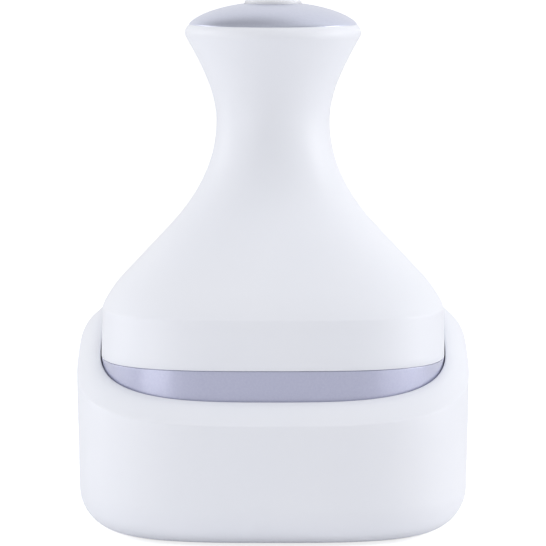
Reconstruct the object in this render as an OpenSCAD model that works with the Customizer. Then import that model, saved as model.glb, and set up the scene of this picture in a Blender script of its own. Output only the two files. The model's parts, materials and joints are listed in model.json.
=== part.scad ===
// Electric scalp massager standing in its recharge stand.
// Millimetres. +Z is up, the front faces -Y, and the origin is the middle of the stand's footprint.

/* [Handpiece housing] */
// Width of the housing across its skirt
skirt_w = 105; // [96:1:126]
// Squareness of the skirt's outline, where 2 is round
skirt_power = 3.2; // [2.6:0.1:4]
// Wall of the housing
shell_wall = 2.4; // [1.8:0.1:2.9]
// Height from the base plate's underside to the seam under the cap
handle_h = 112.4; // [110:0.2:136]
// Height of the straight skirt above the trim band
skirt_h = 14.6; // [10:0.2:18]
// Width of the handle at its waist
waist_w = 34.8; // [34:0.2:43]
// Height of the waist below the cap's seam
flare_h = 29.4; // [24:0.2:34]
// Width across the flared top of the handle
knob_w = 54; // [50:1:64]
// Height of the domed cap above its seam
dome_h = 7; // [5:0.1:9]
// Height of the trim band
band_h = 12.5; // [11:0.1:14]

/* [Button] */
// Width of the power button
button_w = 17.4; // [12:0.1:20]
// Height that the button stands above the dome
button_up = 1.5; // [1:0.1:3.5]
// How far the button travels when pressed
button_travel = 0.5; // [0.3:0.05:0.8]

/* [Massage heads] */
// Length of a silicone finger below its pad
finger_l = 16; // [12:0.5:20]
// Width of a finger at its root
finger_w = 8; // [6:0.1:9]
// Number of fingers in the ring of each pad
ring_fingers = 6; // [4:1:7]
// Gap between neighbouring pads
pad_gap = 3.8; // [2.5:0.1:6]
// Thickness of a pad
pad_t = 5; // [4:0.1:6]
// Teeth on each of the four output gears
gear_teeth = 30; // [22:4:34]
// Face width of the output gears
gear_t = 6; // [4:0.1:6.5]
// Teeth on the wheel that the motor drives
wheel_teeth = 46; // [40:2:50]
// Teeth on the motor's pinion
pinion_teeth = 18; // [16:1:20]
// Play between meshing teeth
backlash = 0.16; // [0.1:0.02:0.3]
// Diameter of the output shafts
shaft_d = 6; // [5:0.1:7]

/* [Motor and battery] */
// Diameter of the motor and its gearhead
motor_d = 24.4; // [20:0.1:28]
// Length of the gearhead
gearhead_l = 11; // [8:0.5:12]
// Length of the motor can
motor_l = 19.5; // [15:0.5:20]
// Diameter of the battery cell
cell_d = 18.4; // [14:0.1:18.6]
// Length of the battery cell
cell_l = 49.5; // [35:0.5:50]

/* [Stand] */
// Gap between the handpiece and the stand's rim
rim_gap = 0.6; // [0.4:0.1:1.5]
// Width of the sloping lip around the rim
lip_w = 6.9; // [5.5:0.1:9]
// Drop of the lip from the rim to its outer edge
lip_drop = 4.9; // [2:0.1:8]
// Height of the rim at the front
rim_h = 44; // [43:0.5:50]
// Tilt of the rim, which rises to the back, in degrees
rim_tilt = 13.7; // [0:0.5:16]
// Wall of the stand's housing
stand_wall = 2.6; // [2:0.1:3]
// Radius of the stand's bottom edge
foot_round = 12.5; // [6:0.5:13]
// Height of the rubber feet below the housing
foot_h = 0.9; // [0.6:0.1:3]
// Room under the tray for the circuit board
bay_h = 5.8; // [4.6:0.1:8]
// Room between the fingertips and the tray's floor
tip_room = 5; // [2:0.5:7]
// Radius of the bore of the power inlet
inlet_r = 2.85; // [2.6:0.05:3]
// Radius of the inlet's centre pin
inlet_pin_r = 1; // [0.8:0.05:1.25]
// How far a contact pin can be pressed down
pin_travel = 0.8; // [0.4:0.1:1.2]

/* [Hidden] */

// Colours
shell_white = [0.93, 0.93, 0.95];
trim_lavender = [0.67, 0.68, 0.78];
silicone_lavender = [0.60, 0.62, 0.74];
board_green = [0.10, 0.35, 0.22];
steel_grey = [0.72, 0.73, 0.75];

// Fineness of the lofted shells and of the round pieces
segs = 48;
$fn = 64;

// Clearances
slip = 0.15;        // between fixed pieces that slide together
running = 0.05;     // radial, between a shaft and its bush
hair = 0.02;        // between pieces that are pressed together
screw_play = 0.05;  // radial, around a screw in its pilot hole

// Screws: radius of the shank, and of the hole that it passes through freely
long_screw_r = 1.45;
long_screw_hole_r = 1.7;
short_screw_r = 1.25;
short_screw_hole_r = 1.5;

// ---------- Stand heights ----------
plate_t = 1.8;                                  // stand's base cover
floor_t = 2;                                    // tray's floor
board_t = 1.2;
cover_z = foot_h + plate_t;                     // top of the base cover
floor_z = cover_z + bay_h + floor_t;            // top of the tray's floor
tip_z = floor_z + tip_room;                     // lowest point of the fingers
pad_z = tip_z + finger_l;                       // underside of the pads
pad_seat = 4.5;                                 // pad's top to the base plate's underside
base_z = pad_z + pad_t + pad_seat;              // underside of the base plate

// ---------- Handpiece outline ----------
skirt_a = skirt_w / 2;
waist_r = waist_w / 2;
band_low = -0.5;                                // band's bottom below the base plate's underside
band_top = band_low + band_h;
skirt_draft = 0.3;                              // skirt is this much narrower at its top
crease_h = band_top + skirt_h;                  // crease where the shoulder starts
shoulder_h = 8.4;                               // height of the shoulder's curve
shoulder_in = 5.8;                              // how far the shoulder draws in
flank_h = 16;                                   // height of the straight flank
flank_slope = 0.925;                            // narrowing of the flank for each mm of height
crease_slope = 0.4;                             // narrowing just above the crease
waist_h = handle_h - flare_h;
edge_r = 3;                                     // rounding of the handle's top edge
edge_turn = 55;                                 // where the rounding ends at the cap's seam, in degrees
flare_slope = 0.56;                             // widening just below the rounded edge
flare_angle = atan(flare_slope);
edge_h = handle_h - edge_r * sin(edge_turn);    // height at which the handle's top is widest
flare_top = edge_h - edge_r * sin(flare_angle);
flare_a = knob_w / 2 - edge_r * (1 - cos(flare_angle));
cap_a = knob_w / 2 - edge_r * (1 - cos(edge_turn));

// ---------- Gear train ----------
tongue_t = 1.5;                                 // band's tongue inside the skirt
skirt_in = skirt_a - shell_wall;
tongue_a = skirt_in - slip;
diag = pow(2, 1 / 2 - 1 / skirt_power);         // corner reach of the outline for each mm of half width
gear_room = 1.8;                                // from the gears' tips to the tongue's corners
head_c = ((tongue_a - tongue_t) * diag - gear_room) / (sqrt(2) + 1 + 2 / gear_teeth);
gear_m = 2 * head_c / gear_teeth;               // module that makes neighbouring gears mesh
wheel_m = 2 * head_c * sqrt(2) / (wheel_teeth + pinion_teeth);
pad_r = head_c - pad_gap / 2;
base_t = 3;
seal_t = 1;
flange_t = 1.5;
boss_top = base_t + 2.2;                        // shaft bosses and screw bosses on the base plate
bush_flange = 0.7;
gear_h = boss_top + bush_flange + 0.6;          // underside of the output gears
wheel_h = gear_h + gear_t + 2;                  // underside of the motor's wheel
wheel_t = 4;
cover_h = wheel_h + wheel_t + 1;                // underside of the gearbox cover
cover_t = 2.5;
deck_h = cover_h + cover_t;                     // top of the gearbox cover
post_r = 4.2;
flange_in = 2;                                  // reach of the band's flange inside its tongue
band_in = 3.1;                                  // thickness of the band at its bottom
post_c = tongue_a - tongue_t - flange_in - post_r - 0.3;  // screw posts' distance from the axis
shell_boss_r = 3.6;
hex_f = shaft_d + 1;                            // across the flats of a shaft's hexagon
drive_f = 5;                                    // across the flats of a shaft's lower end
bush_r = shaft_d / 2 + 1.5;
seal_r = bush_r + 1;
collar_r = seal_r + 2;
collar_l = 2.9;                                 // collar under the base plate round each seal
seal_h = 2.6;                                   // height of each shaft seal
seal_top = 0.2;                                 // seal's top above the base plate's underside
hub_r = pad_r - 1.4;
hub_t = 3;
hub_lip = 0.6;                                  // hub's top above its pad's
pad_round = 2.5;                                // rounding of a pad's lower edge
finger_flare = 1.2;                             // widening at a finger's root
tip_share = 0.62;                               // a finger's tip, as a share of its root

// ---------- Motor, frame and boards ----------
motor_r = motor_d / 2;
frame_t = 1.4;
sleeve_r = motor_r + 0.3;                       // frame's bore round the motor
sleeve_out_r = sleeve_r + frame_t;
motor_top = deck_h + gearhead_l + motor_l;
bridge_h = motor_top + 1;                       // frame's bridge over the motor
cell_h = bridge_h + frame_t + 0.1;
cell_r = cell_d / 2;
cradle_r = cell_r + 0.15;
switch_board_h = handle_h - 5.4;
board_y = cradle_r + frame_t + 0.4;             // front face of the main board
neck_in = waist_r - shell_wall;
board_w = 2 * (sqrt(pow(neck_in - 0.5, 2) - pow(board_y + board_t, 2)));
board_l = 42;
board_back = board_y + board_t;
lead_y = sleeve_out_r + 2.2;                    // leads run up behind the motor
plug_r = cap_a - shell_wall - 0.2;              // cap's plug inside the handle's mouth
mouth_r = plug_r + 0.2;
dome_t = 2.2;
button_r = button_w / 2;
button_top = handle_h + dome_h + button_up;
button_flange_h = handle_h + 1.7;
button_flange_t = 1.2;
switch_h = 3.5;
switch_w = 6;
plunger_r = 1.7;
plunger_in = 0.9;                               // plunger's length inside the switch
plunger_out = button_travel + 0.8;              // plunger's length above the switch
plunger_top = switch_board_h + board_t + switch_h + plunger_out;
button_flange_in = 1.1;                         // reach of the button's flange under the cap
stem_r = 2.4;                                   // button's stem, which presses the plunger

// ---------- Stand outline ----------
rim_a = skirt_a + rim_gap;
stand_a = rim_a + lip_w;
tilt = tan(rim_tilt);
rim_mid = rim_h + tilt * rim_a;                 // rim's height at the middle of each side
lip_mid = rim_mid - lip_drop;                   // lip's outer edge at the middle of each side
stand_draft = 0.7;                              // wall is this much narrower at its foot
low_a = stand_a - stand_draft;
ledge_z = base_z + band_low - hair;             // flange that the band rests on
tray_flange = 1.8;
tray_a = rim_a - slip;
well_top_a = rim_a - 5;
well_draft = 2.4;
well_a = well_top_a - well_draft;
tray_wall = 1.8;
hang_in = 2.6;                                  // housing's ledge under the tray's flange
hang_t = 1.8;
skin_t = 2.2;                                   // wall behind the rim
cover_a = low_a - foot_round;                     // opening in the housing's bottom
cover_in = 2;                                   // ledge above the base cover's edge
cover_ledge_z = foot_h + 3.2;                   // top of that ledge
inlet_z = foot_h + foot_round + 5;              // the inlet sits in the upright wall
inlet_y = low_a - 0.4;                            // mouth of the inlet
inlet_l = 8.8;                                  // depth of the inlet's bore
nose_r = inlet_r + 1.15;
jack_w = 9;
jack_l = 6.4;                                   // length of the jack's square body
jack_back = inlet_y - inlet_l - 1.2;
post_top = base_z - 4.4;                        // top of the tray's contact post
contact_post_r = 7.5;
contact_x = 4;
contact_z = base_z - 3;                         // underside of the handpiece's contact pads
contact_gap = 0.1;
sleeve_out = 1.6;
pin_r = 0.9;
sleeve_l = 12;
sleeve_floor = 2;                               // sleeve's bottom, under the pin
pin_low = post_top - sleeve_l + sleeve_floor + pin_travel + 0.8;
foot_r = 5;
foot_sink = 0.6;
stand_board_z = cover_z + 1.6;                  // the board stands on pegs
PEGS = [for (x = [-14, 14], y = [12, 28]) [x, y]];
foot_c = (cover_a * diag - foot_r - 2) / sqrt(2);
stand_screw_c = foot_c * 0.72;
stand_boss_r = 3.4;

// Corners of the square of heads: name suffix order is front left, front right, rear left, rear right
HEADS = [[-1, -1], [1, -1], [-1, 1], [1, 1]];
SIDES = [[1, 0], [0, 1], [-1, 0], [0, -1]];

// ---------- Shared functions ----------

// Point i of a superellipse outline of half width a
function outline_point(a, power, i) =
  let (t = 360 * i / segs, c = cos(t), s = sin(t))
  [a * sign(c) * pow(abs(c), 2 / power), a * sign(s) * pow(abs(s), 2 / power)];

function outline(a, power = skirt_power) = [for (i = [0:segs - 1]) outline_point(a, power, i)];

// Ring of a loft: station is [half width, height at the middle, power, tilt]
function ring(station) = [
  for (p = outline(station[0], station[2])) [p[0], p[1], station[1] + station[3] * p[1]]
];

// Cubic from 0 to 1 with the given slopes at its ends
function ease(u, start, end) = (start + end - 2) * pow(u, 3) + (3 - 2 * start - end) * pow(u, 2) + start * u;

// Points [half width, height] of a curve from p to q, with d(width)/d(height) at each end
function blend(p, q, from, to, steps) =
  let (w = q[0] - p[0], h = q[1] - p[1])
  [for (k = [0:steps]) [p[0] + w * ease(k / steps, from * h / w, to * h / w), p[1] + h * k / steps]];

// Moves a profile inwards by t, along its own normals
function inset(line, t) = [
  for (k = [0:len(line) - 1])
    let (
      d = line[min(k + 1, len(line) - 1)] - line[max(k - 1, 0)],
      n = [d[1], -d[0]] / norm(d)
    )
    line[k] - t * n
];

// Outline power at a height above the base plate: round from the waist up
function power_at(h) =
  let (u = max(0, min(1, (waist_h - h) / (waist_h - crease_h))))
  2 + (skirt_power - 2) * u * u * (1.9 - 0.9 * u);

function stations(line) = [for (p = line) [p[0], base_z + p[1], power_at(p[1]), 0]];

// ---------- Shared modules ----------

module ring_faces(rings, loop) {
  count = len(rings);
  points = [for (r = rings) each r];
  sides = [
    for (j = [0:count - (loop ? 1 : 2)], i = [0:segs - 1])
      let (
        a = j * segs + i,
        b = j * segs + (i + 1) % segs,
        c = ((j + 1) % count) * segs + (i + 1) % segs,
        d = ((j + 1) % count) * segs + i
      )
      each [[a, c, b], [a, d, c]]
  ];
  caps = loop ? [] : [
    [for (i = [0:segs - 1]) i],
    [for (i = [segs - 1:-1:0]) (count - 1) * segs + i]
  ];
  polyhedron(points = points, faces = concat(sides, caps), convexity = 10);
}

// Closed wall that follows a loop of stations round the outline
module wall_loft(list) ring_faces([for (s = list) ring(s)], true);

// Solid between a first and a last station, which are capped
module solid_loft(list) ring_faces([for (s = list) ring(s)], false);

// Flat plate with the skirt's outline
module plate(a, z, t) translate([0, 0, z]) linear_extrude(t) polygon(outline(a));

module tube(r_out, r_in, h) rotate_extrude() translate([r_in, 0]) square([r_out - r_in, h]);

module at(points, scale_by) for (p = points) translate([p[0] * scale_by, p[1] * scale_by, 0]) children();

// Outline of an involute gear with its first tooth on +X
function gear_outline(teeth, m, play) =
  let (
    rp = m * teeth / 2,
    rb = rp * cos(20),
    ra = rp + m,
    rf = rp - 1.25 * m,
    half = 90 / teeth - play / 4 / rp * 180 / PI,
    inv_p = tan(20) * 180 / PI - 20,
    radii = [for (k = [0:3]) rb + (ra - rb) * k / 3],
    angle = [for (r = radii) let (al = acos(min(1, rb / r))) half + inv_p - (tan(al) * 180 / PI - al)],
    low = [[rf, angle[0]], for (k = [0:3]) [radii[k], angle[k]]]
  )
  [
    for (tooth = [0:teeth - 1])
      let (mid = 360 * tooth / teeth)
      each concat(
        [for (p = low) [p[0] * cos(mid - p[1]), p[0] * sin(mid - p[1])]],
        [for (k = [4:-1:0]) [low[k][0] * cos(mid + low[k][1]), low[k][0] * sin(mid + low[k][1])]]
      )
  ];

// Spur gear with flat sides, a hexagonal bore and a sunk web
module gear(teeth, m, t, bore_f, turn, bore_turn) {
  rp = m * teeth / 2;
  web = 1.2;
  difference() {
    rotate(turn) linear_extrude(t) polygon(gear_outline(teeth, m, backlash));
    rotate(bore_turn) translate([0, 0, -1]) cylinder(r = bore_f / 2 / cos(30), h = t + 2, $fn = 6);
    for (z = [-1, t - web]) translate([0, 0, z]) linear_extrude(web + 1) difference() {
      circle(r = rp - 2.6 * m, $fn = 12);
      circle(r = bore_f, $fn = 12);
    }
  }
}

// Insulated wire of radius r along a list of points
module wire(points, r = 0.6) {
  sides = 6;
  last = len(points) - 1;
  dirs = [for (k = [0:last]) let (d = points[min(k + 1, last)] - points[max(k - 1, 0)]) d / norm(d)];
  // Any direction square to the first one starts the frame, and each next one is carried along
  function frame(k) = k == 0
    ? (let (s = cross(dirs[0], abs(dirs[0][2]) > 0.9 ? [0, 1, 0] : [0, 0, 1])) s / norm(s))
    : (let (u = frame(k - 1), s = u - dirs[k] * (u * dirs[k])) s / norm(s));
  rings = [
    for (k = [0:last])
      let (u = frame(k), v = cross(dirs[k], u))
      [for (i = [0:sides - 1]) points[k] + r * (u * cos(360 * i / sides) + v * sin(360 * i / sides))]
  ];
  faces = [
    for (j = [0:last - 1], i = [0:sides - 1])
      let (a = j * sides + i, b = j * sides + (i + 1) % sides)
      each [[a, a + sides, b + sides], [a, b + sides, b]]
  ];
  caps = [
    [for (i = [sides - 1:-1:0]) i],
    [for (i = [0:sides - 1]) last * sides + i]
  ];
  polyhedron(points = [for (g = rings) each g], faces = concat(faces, caps));
}

// Pan-head screw with its head's underside at the origin and its shank going up
module screw(shank_r, shank_l, head_r, head_t) {
  difference() {
    union() {
      cylinder(r = shank_r, h = shank_l);
      translate([0, 0, -head_t]) cylinder(r = head_r, h = head_t);
    }
    for (a = [0, 90]) rotate(a) translate([-head_r * 0.6, -0.3, -head_t - 1])
      cube([head_r * 1.2, 0.6, 1 + head_t * 0.55]);
  }
}

// ---------- Handpiece housing ----------

skirt_line = [[skirt_a, band_top], [skirt_a - skirt_draft, crease_h]];
shoulder_line = blend(
  [skirt_a - skirt_draft, crease_h],
  [skirt_a - skirt_draft - shoulder_in, crease_h + shoulder_h],
  -crease_slope, -flank_slope, 5
);
flank_low = shoulder_line[5];
flank_high = flank_low + [-flank_slope * flank_h, flank_h];
lower_neck_line = blend(flank_high, [waist_r, waist_h], -flank_slope, 0, 8);
upper_neck_line = blend([waist_r, waist_h], [flare_a, flare_top], 0, flare_slope, 8);
edge_centre = [knob_w / 2 - edge_r, edge_h];
edge_line = [
  for (k = [0:5])
    let (g = -flare_angle + (edge_turn + flare_angle) * k / 5)
    edge_centre + edge_r * [cos(g), sin(g)]
];
function tail(line) = [for (k = [1:len(line) - 1]) line[k]];
outer_line = concat(
  skirt_line, tail(shoulder_line), tail(concat([flank_low], lower_neck_line)),
  tail(upper_neck_line), tail(edge_line)
);
flank_table = [for (p = concat(shoulder_line, [flank_high])) [-p[0], p[1]]];

module body_shell() {
  neck_points = [for (p = outer_line) if (p[1] > crease_h && p[1] < flare_top - 3.5) p];
  inner_line = concat(
    [[skirt_in, band_top], [skirt_in - skirt_draft, crease_h - 1]],
    inset(neck_points, shell_wall),
    [[mouth_r, handle_h - 4.6], [mouth_r, handle_h]]
  );
  loop = concat(outer_line, [for (k = [len(inner_line) - 1:-1:0]) inner_line[k]]);
  boss_high = lookup(-(post_c + shell_boss_r), flank_table) - 1.6;
  color(shell_white) difference() {
    union() {
      wall_loft(stations(loop));
      at(SIDES, post_c) translate([0, 0, base_z + deck_h + slip])
        cylinder(r = shell_boss_r, h = boss_high - deck_h - slip);
    }
    at(SIDES, post_c) translate([0, 0, base_z + deck_h - 1])
      cylinder(r = long_screw_r + screw_play, h = 9);
  }
}

module trim_band() {
  loop = [
    [skirt_a - 2.6, band_low],
    [skirt_a - 1.2, band_low + 0.5],
    [skirt_a - 0.35, band_low + 1.4],
    [skirt_a, band_low + 2.8],
    [skirt_a, band_top - 0.3],
    [skirt_a - 0.3, band_top],
    [tongue_a, band_top],
    [tongue_a, band_top + 3],
    [tongue_a - tongue_t, band_top + 3],
    [tongue_a - tongue_t, base_t + seal_t + flange_t],
    [tongue_a - tongue_t - flange_in, base_t + seal_t + flange_t],
    [tongue_a - tongue_t - flange_in, base_t + seal_t],
    [skirt_a - band_in, base_t + seal_t],
    [skirt_a - band_in, band_low]
  ];
  color(trim_lavender) wall_loft([for (p = loop) [p[0], base_z + p[1], skirt_power, 0]]);
}

// Height of the dome above the seam at radius r, between an arc and an ellipse
function dome_at(r) = dome_h * pow(max(0, 1 - pow(r / cap_a, 2)), 2 / 3);

module top_cap() {
  steps = 14;
  hole_r = button_r + 0.2;
  collar_t = 1.4;
  outside = [for (k = [0:steps]) let (r = cap_a - (cap_a - hole_r) * k / steps) [r, dome_at(r)]];
  inside = [
    for (k = [0:8])
      let (r = hole_r + collar_t + (plug_r - 1.8 - hole_r - collar_t) * k / 8)
      [r, max(0.4, dome_at(r * cap_a / (plug_r + 0.6)) - dome_t)]
  ];
  profile = concat(
    outside,
    [[hole_r, button_flange_h + button_flange_t + 0.1 - handle_h],
     [hole_r + collar_t, button_flange_h + button_flange_t + 0.1 - handle_h]],
    inside,
    [[plug_r - 1.8, -4], [plug_r, -4], [plug_r, 0]]
  );
  color(trim_lavender) translate([0, 0, base_z + handle_h]) {
    rotate_extrude() polygon(profile);
    for (a = [30, 150, 270]) rotate(a) translate([14, 0, switch_board_h + board_t - handle_h])
      cylinder(r = 1.8, h = dome_at(15.8) - dome_t / 2 - (switch_board_h + board_t - handle_h));
  }
}

module power_button() {
  crown = 0.5;
  round_r = 1.1;
  flange_r = button_r + button_flange_in;
  flange_top = button_flange_h + button_flange_t;
  profile = concat(
    [[0, button_flange_h], [flange_r, button_flange_h], [flange_r, flange_top], [button_r, flange_top]],
    [for (k = [0:4]) let (g = 90 * k / 4)
      [button_r - round_r + round_r * cos(g), button_top - crown - round_r + round_r * sin(g)]],
    [[button_r * 0.5, button_top - crown * 0.25], [0, button_top]]
  );
  color([0.87, 0.88, 0.92]) translate([0, 0, base_z]) {
    rotate_extrude() polygon(profile);
    translate([0, 0, plunger_top]) cylinder(r = stem_r, h = button_flange_h - plunger_top + 0.1);
  }
}

module switch_plunger() color("dimgray")
  translate([0, 0, base_z + plunger_top - plunger_out - plunger_in])
    cylinder(r = plunger_r, h = plunger_in + plunger_out);

module switch_body() color([0.2, 0.2, 0.22])
  translate([0, 0, base_z + switch_board_h + board_t]) difference() {
    translate([-switch_w / 2, -switch_w / 2, 0]) cube([switch_w, switch_w, switch_h]);
    translate([0, 0, switch_h - plunger_in - button_travel - 0.6])
      cylinder(r = plunger_r + 0.1, h = switch_h);
  }

module switch_board() color(board_green)
  translate([0, 0, base_z + switch_board_h]) cylinder(r = mouth_r - 4.4, h = board_t);

// ---------- Motor, battery and frame ----------

module inner_frame() {
  cradle_out = cradle_r + frame_t;
  foot_out = sleeve_out_r + 7;
  window_w = 11;
  color([0.85, 0.85, 0.87]) translate([0, 0, base_z]) {
    difference() {
      union() {
        translate([0, 0, deck_h]) cylinder(r = sleeve_out_r, h = bridge_h + frame_t - deck_h);
        translate([0, 0, bridge_h]) cylinder(r = cradle_out, h = switch_board_h - bridge_h);
        for (z = [bridge_h + 8, bridge_h + 36]) translate([-5, cradle_r, z])
          cube([10, board_y - cradle_r, 4]);
        for (s = [-1, 1]) translate([s > 0 ? 0 : -foot_out, -4, deck_h]) cube([foot_out, 8, 2]);
      }
      translate([0, 0, deck_h - 1]) cylinder(r = sleeve_r, h = bridge_h - deck_h + 1);
      translate([0, 0, cell_h - 0.1]) cylinder(r = cradle_r, h = switch_board_h);
      // open front, where the cell is put in, and side windows round the motor
      translate([-cradle_out - 1, -cradle_out - 1, cell_h + 3])
        cube([2 * cradle_out + 2, cradle_out - 2, cell_l - 6]);
      for (s = [-1, 1]) translate([-window_w / 2, s > 0 ? 4 : -4 - sleeve_out_r, deck_h + 5])
        cube([window_w, sleeve_out_r, bridge_h - deck_h - 5]);
      for (s = [-1, 1]) translate([s * (foot_out - 3), 0, deck_h - 1])
        cylinder(r = short_screw_r + screw_play, h = 4);
    }
  }
}

module battery_cell() color([0.35, 0.5, 0.75]) translate([0, 0, base_z + cell_h]) rotate_extrude()
  polygon([
    [0, 0], [cell_r - 0.8, 0], [cell_r, 0.8], [cell_r, cell_l - 1.9], [cell_r - 0.8, cell_l - 1.2],
    [3, cell_l - 1.2], [3, cell_l], [0, cell_l]
  ]);

module main_board() color(board_green)
  translate([-board_w / 2, board_y, base_z + bridge_h + 5]) {
    cube([board_w, board_t, board_l]);
    for (z = [6, 16, 28]) translate([board_w / 2 - 2.5, board_t - 0.01, z]) cube([5, 1.1, 5]);
  }

module gearhead() color(steel_grey) translate([0, 0, base_z + deck_h]) difference() {
  cylinder(r = motor_r, h = gearhead_l);
  translate([0, 0, -1]) cylinder(r = 2 + running, h = gearhead_l);
}

module motor_can() color([0.6, 0.61, 0.63]) translate([0, 0, base_z + deck_h + gearhead_l]) {
  rotate_extrude() polygon([
    [0, 0], [motor_r, 0], [motor_r, motor_l - 2], [motor_r - 1, motor_l - 1], [5, motor_l - 1],
    [5, motor_l], [0, motor_l]
  ]);
}

module motor_shaft() color("silver") translate([0, 0, base_z + wheel_h - 1]) {
  cylinder(r = 2, h = deck_h + gearhead_l - 1.5 - wheel_h);
}

module motor_pinion() color([0.8, 0.66, 0.35]) translate([0, 0, base_z + wheel_h]) {
  rp = wheel_m * pinion_teeth / 2;
  rotate(225 + 180 / pinion_teeth) difference() {
    linear_extrude(wheel_t) polygon(gear_outline(pinion_teeth, wheel_m, backlash));
    translate([0, 0, -1]) cylinder(r = 2 + hair, h = wheel_t + 2);
  }
}

module gearbox_cover() color([0.80, 0.81, 0.84]) translate([0, 0, base_z]) difference() {
  union() {
    plate(tongue_a - tongue_t - 1, cover_h, cover_t);
    at(SIDES, post_c) translate([0, 0, boss_top]) cylinder(r = post_r, h = cover_h - boss_top + 0.1);
  }
  at(SIDES, post_c) translate([0, 0, boss_top - 1]) cylinder(r = long_screw_hole_r, h = deck_h);
  at(HEADS, head_c) translate([0, 0, cover_h - 1]) cylinder(r = bush_r, h = cover_t + 2);
  translate([0, 0, cover_h - 1]) cylinder(r = 4, h = cover_t + 2);
  for (s = [-1, 1]) translate([s * 2.5, lead_y, cover_h - 1]) cylinder(r = 1, h = cover_t + 2);
  for (s = [-1, 1]) translate([s * (sleeve_out_r + 4), 0, cover_h - 1])
    cylinder(r = short_screw_r + screw_play, h = cover_t + 2);
}

module upper_bushes() color([0.72, 0.55, 0.32]) at(HEADS, head_c)
  translate([0, 0, base_z + cover_h]) tube(bush_r - hair, shaft_d / 2 + running, cover_t);

module frame_screws() color("silver") for (s = [-1, 1])
  translate([s * (sleeve_out_r + 4), 0, base_z + deck_h + 2]) rotate([180, 0, 0])
    screw(short_screw_r, 4, 2.4, 1.6);

// ---------- Base plate and seals ----------

module base_plate() color([0.90, 0.90, 0.92]) translate([0, 0, base_z]) difference() {
  union() {
    plate(skirt_a - band_in - slip, 0, base_t);
    at(HEADS, head_c) translate([0, 0, -collar_l]) cylinder(r = collar_r, h = collar_l + boss_top);
    at(SIDES, post_c) cylinder(r = post_r, h = boss_top);
    translate([0, 0, contact_z - base_z + 0.3]) cylinder(r = contact_post_r, h = 3);
  }
  at(HEADS, head_c) translate([0, 0, -collar_l - 1]) cylinder(r = seal_r, h = collar_l + 1 + seal_top);
  at(HEADS, head_c) cylinder(r = bush_r, h = boss_top + 1);
  at(SIDES, post_c) translate([0, 0, -1]) cylinder(r = long_screw_hole_r, h = boss_top + 2);
  at(SIDES, post_c) translate([0, 0, -1]) cylinder(r = 3.2, h = 3.4);
  for (s = [-1, 1]) translate([s * contact_x, 0, contact_z - base_z - 1]) cylinder(r = 2.5, h = 3);
  for (s = [-1, 1]) translate([s * contact_x, 0, -1]) cylinder(r = 0.9, h = 6);
}

module lower_bushes() color([0.72, 0.55, 0.32]) at(HEADS, head_c) translate([0, 0, base_z])
  rotate_extrude() polygon([
    [shaft_d / 2 + running, seal_top], [bush_r - hair, seal_top], [bush_r - hair, boss_top],
    [bush_r + 1.5, boss_top], [bush_r + 1.5, boss_top + bush_flange],
    [shaft_d / 2 + running, boss_top + bush_flange]
  ]);

module shaft_seals() color([0.15, 0.15, 0.17]) at(HEADS, head_c)
  translate([0, 0, base_z + seal_top - seal_h]) rotate_extrude() polygon([
    [shaft_d / 2 + running, 0], [seal_r - hair, 0], [seal_r - hair, seal_h], [shaft_d / 2 + 1, seal_h],
    [shaft_d / 2 + 1, 1.2], [shaft_d / 2 + running, 0.8]
  ]);

module main_seal() color([0.25, 0.25, 0.28]) translate([0, 0, base_z + base_t]) linear_extrude(seal_t)
  difference() {
    polygon(outline(skirt_a - band_in - 2 * slip));
    polygon(outline(tongue_a - tongue_t - flange_in + slip));
  }

module chassis_screws() color("silver") at(SIDES, post_c) translate([0, 0, base_z + 2.4])
  screw(long_screw_r, deck_h + 5, 2.9, 2);

module charge_pads() color([0.83, 0.68, 0.36]) for (s = [-1, 1])
  translate([s * contact_x, 0, contact_z]) cylinder(r = 2.5 - hair, h = 2);

// ---------- Leads inside the handpiece ----------

module charge_leads() {
  lane = base_z + gear_h + gear_t + 1;            // between the output gears and the pinion
  color("firebrick") for (s = [-1, 1]) wire([
    [s * contact_x, 0, contact_z + 2.1],
    [s * contact_x, 0, lane - 1],
    [s * contact_x, 1, lane],
    [s * 3.2, 8, lane],
    [s * 2.5, lead_y - 2, lane],
    [s * 2.5, lead_y, lane + 2],
    [s * 2.5, lead_y, base_z + bridge_h],
    [s * 2.5, max(lead_y - 1.5, board_back + 0.6), base_z + bridge_h + 4],
    [s * 2.5, board_back + 0.6, base_z + bridge_h + 8]
  ], 0.5);
}

module motor_leads() color([0.1, 0.1, 0.1]) for (s = [-1, 1])
  wire([
    [s * 4, motor_r - 3, base_z + motor_top - 0.5],
    [s * 4, motor_r, base_z + motor_top - 0.4],
    [s * 4, lead_y - 1, base_z + motor_top],
    [s * 4.5, lead_y, base_z + bridge_h + 2],
    [s * 4.5, board_back + 0.6, base_z + bridge_h + 8]
  ], 0.45);

// ---------- Output gears, shafts and massage heads ----------

// Teeth are set so that neighbours mesh: front right and rear left are turned by half a tooth
function gear_turn(k) = (k == 1 || k == 2) ? 180 / gear_teeth : 0;

module output_gear(k) color([0.88, 0.86, 0.78])
  translate([HEADS[k][0] * head_c, HEADS[k][1] * head_c, base_z + gear_h])
    gear(gear_teeth, gear_m, gear_t, hex_f + 2 * hair, gear_turn(k), gear_turn(k));

module drive_wheel() color([0.88, 0.86, 0.78])
  translate([-head_c, -head_c, base_z + wheel_h])
    gear(wheel_teeth, wheel_m, wheel_t, hex_f + 2 * hair, 45, gear_turn(0));

module output_shaft(k) color("silver")
  translate([HEADS[k][0] * head_c, HEADS[k][1] * head_c, base_z]) {
    hex_low = boss_top + bush_flange + 0.1;
    hub_high = -pad_seat + hub_lip;
    translate([0, 0, hub_high + 0.4]) cylinder(r = shaft_d / 2, h = deck_h - hub_high - 0.6);
    rotate(gear_turn(k)) translate([0, 0, hex_low])
      cylinder(r = hex_f / 2 / cos(30), h = cover_h - 0.2 - hex_low, $fn = 6);
    translate([0, 0, hub_high - hub_t]) cylinder(r = drive_f / 2 / cos(30), h = hub_t + 1, $fn = 6);
  }

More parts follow.
